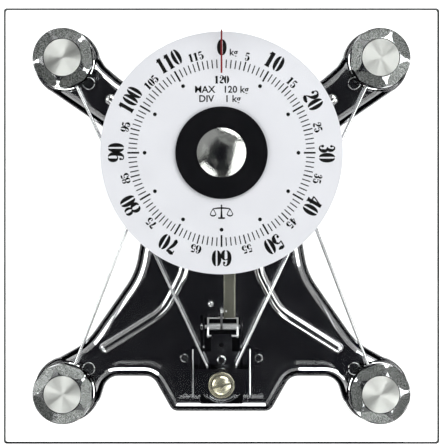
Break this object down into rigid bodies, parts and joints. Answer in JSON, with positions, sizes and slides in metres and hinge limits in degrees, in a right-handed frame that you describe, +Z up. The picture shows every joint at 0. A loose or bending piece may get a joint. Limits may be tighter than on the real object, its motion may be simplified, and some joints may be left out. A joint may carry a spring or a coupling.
{
  "type": "mechanical dial platform scale",
  "caption": "Square clear glass platform on turned corner knobs over a lever mechanism that turns a round weight dial.",
  "frame": {"origin": "on the floor under the middle of the glass platform", "axes": "+Z up, +X right, +Y towards the dial at the rear"},
  "size_m": [0.28, 0.28, 0.044],
  "materials": {
    "clear_glass": "polished tempered",
    "red_print": "printed",
    "polished_chrome": "mirror",
    "spun_steel": "spun",
    "plated_steel": "zinc plated",
    "steel_wire": "drawn",
    "pan_chrome": "bright plated",
    "black_steel": "satin black",
    "foot_rubber": "matte",
    "brass": "turned",
    "dial_white": "painted and printed",
    "hub_black": "matte",
    "white_nylon": "natural"
  },
  "bodies": {
    "base": {"base_shell": "pan_chrome", "rubber_foot_rear_left": "foot_rubber", "rubber_foot_rear_right": "foot_rubber", "rubber_foot_front_left": "foot_rubber", "rubber_foot_front_right": "foot_rubber", "fulcrum_block_rear_left": "plated_steel", "fulcrum_block_rear_right": "plated_steel", "fulcrum_block_front_left": "plated_steel", "fulcrum_block_front_right": "plated_steel", "corner_screws": "plated_steel", "spring_bridge": "plated_steel", "bridge_screws": "plated_steel", "bottom_cover": "black_steel", "cover_posts": "plated_steel", "crank_bracket": "plated_steel", "bracket_rivets": "plated_steel", "crank_axle": "steel_wire", "axle_clips": "plated_steel", "rack_guide_front": "white_nylon", "rack_guide_rear": "white_nylon", "spring_post": "plated_steel", "dial_bush": "brass", "dial_strap": "plated_steel", "strap_rivets": "plated_steel", "load_spring": "steel_wire", "return_spring": "steel_wire"},
    "platform": {"glass_platform": "clear_glass", "reading_line": "red_print", "corner_knob_rear_left": "polished_chrome", "corner_knob_rear_right": "polished_chrome", "corner_knob_front_left": "polished_chrome", "corner_knob_front_right": "polished_chrome", "knob_disc_rear_left": "spun_steel", "knob_disc_rear_right": "spun_steel", "knob_disc_front_left": "spun_steel", "knob_disc_front_right": "spun_steel", "load_post_rear_left": "plated_steel", "load_post_rear_right": "plated_steel", "load_post_front_left": "plated_steel", "load_post_front_right": "plated_steel"},
    "calibrating_plate": {"calibrating_plate": "plated_steel", "plate_tongue": "plated_steel", "plate_rivet": "plated_steel", "spring_seat": "plated_steel"},
    "bell_crank": {"bell_crank": "steel_wire"},
    "rack": {"rack_bar": "steel_wire"},
    "dial": {"dial_disc": "dial_white", "hub_cover": "hub_black", "hub_dome": "polished_chrome", "dial_shaft": "steel_wire", "pinion": "brass"},
    "zero_screw": {"zero_screw": "brass"},
    "spring_plug": {"spring_plug": "plated_steel"},
    "long_lever_left": {"long_lever_left": "steel_wire", "lever_link_left": "plated_steel"},
    "short_lever_left": {"short_lever_left": "steel_wire"},
    "long_lever_right": {"long_lever_right": "steel_wire", "lever_link_right": "plated_steel"},
    "short_lever_right": {"short_lever_right": "steel_wire"}
  },
  "joints": [
    {"name": "platform_press", "type": "slide", "parent": "base", "child": "platform", "axis": [0, 0, -1], "range_m": [0, 0.00047424], "stiffness_N_per_m": 2480000, "springref_m": -0.00001},
    {"name": "dial_turn", "type": "hinge", "parent": "base", "child": "dial", "pos_m": [0, 0.0476, 0], "axis": [0, 0, 1], "range_deg": [0, 360.5]},
    {"name": "long_lever_tilt_left", "type": "hinge", "parent": "base", "child": "long_lever_left", "pos_m": [-0.10892, 0.12169, 0.024], "axis": [0.9061, 0.4231, 0], "range_deg": [0, 1.95]},
    {"name": "short_lever_tilt_left", "type": "hinge", "parent": "base", "child": "short_lever_left", "pos_m": [-0.10893, -0.12445, 0.024], "axis": [-0.9337, 0.358, 0], "range_deg": [0, 1.65]},
    {"name": "long_lever_tilt_right", "type": "hinge", "parent": "base", "child": "long_lever_right", "pos_m": [0.10892, 0.12169, 0.024], "axis": [0.9061, -0.4231, 0], "range_deg": [0, 1.95]},
    {"name": "short_lever_tilt_right", "type": "hinge", "parent": "base", "child": "short_lever_right", "pos_m": [0.10893, -0.12445, 0.024], "axis": [-0.9337, -0.358, 0], "range_deg": [0, 1.65]},
    {"name": "plate_drop", "type": "slide", "parent": "base", "child": "calibrating_plate", "axis": [0, 0, -1], "range_m": [0, 0.00801], "deforming": ["load_spring"]},
    {"name": "crank_turn", "type": "hinge", "parent": "base", "child": "bell_crank", "pos_m": [0, -0.067, 0.00945], "axis": [1, 0, 0], "range_deg": [0, 68.81]},
    {"name": "rack_slide", "type": "slide", "parent": "base", "child": "rack", "axis": [0, -1, 0], "range_m": [0, 0.02264], "deforming": ["return_spring"]},
    {"name": "zero_turn", "type": "hinge", "parent": "base", "child": "zero_screw", "pos_m": [0, -0.1034, 0], "axis": [0, 0, 1], "range_deg": [-361, 361]},
    {"name": "plug_lift", "type": "slide", "parent": "base", "child": "spring_plug", "axis": [0, 0, -1], "range_m": [-0.0008, 0.0008], "deforming": ["load_spring"]}
  ],
  "couplings": [
    {"joint": "dial_turn", "follows": "platform_press", "rad_per_m": 13249},
    {"joint": "long_lever_tilt_left", "follows": "platform_press", "rad_per_m": 71.429},
    {"joint": "short_lever_tilt_left", "follows": "platform_press", "rad_per_m": 60.423},
    {"joint": "long_lever_tilt_right", "follows": "platform_press", "rad_per_m": 71.429},
    {"joint": "short_lever_tilt_right", "follows": "platform_press", "rad_per_m": 60.423},
    {"joint": "plate_drop", "follows": "platform_press", "ratio": 16.869},
    {"joint": "crank_turn", "follows": "platform_press", "rad_per_m": 2530.3},
    {"joint": "rack_slide", "follows": "platform_press", "ratio": 47.696},
    {"joint": "zero_turn", "follows": "plug_lift", "rad_per_m": 7854}
  ]
}
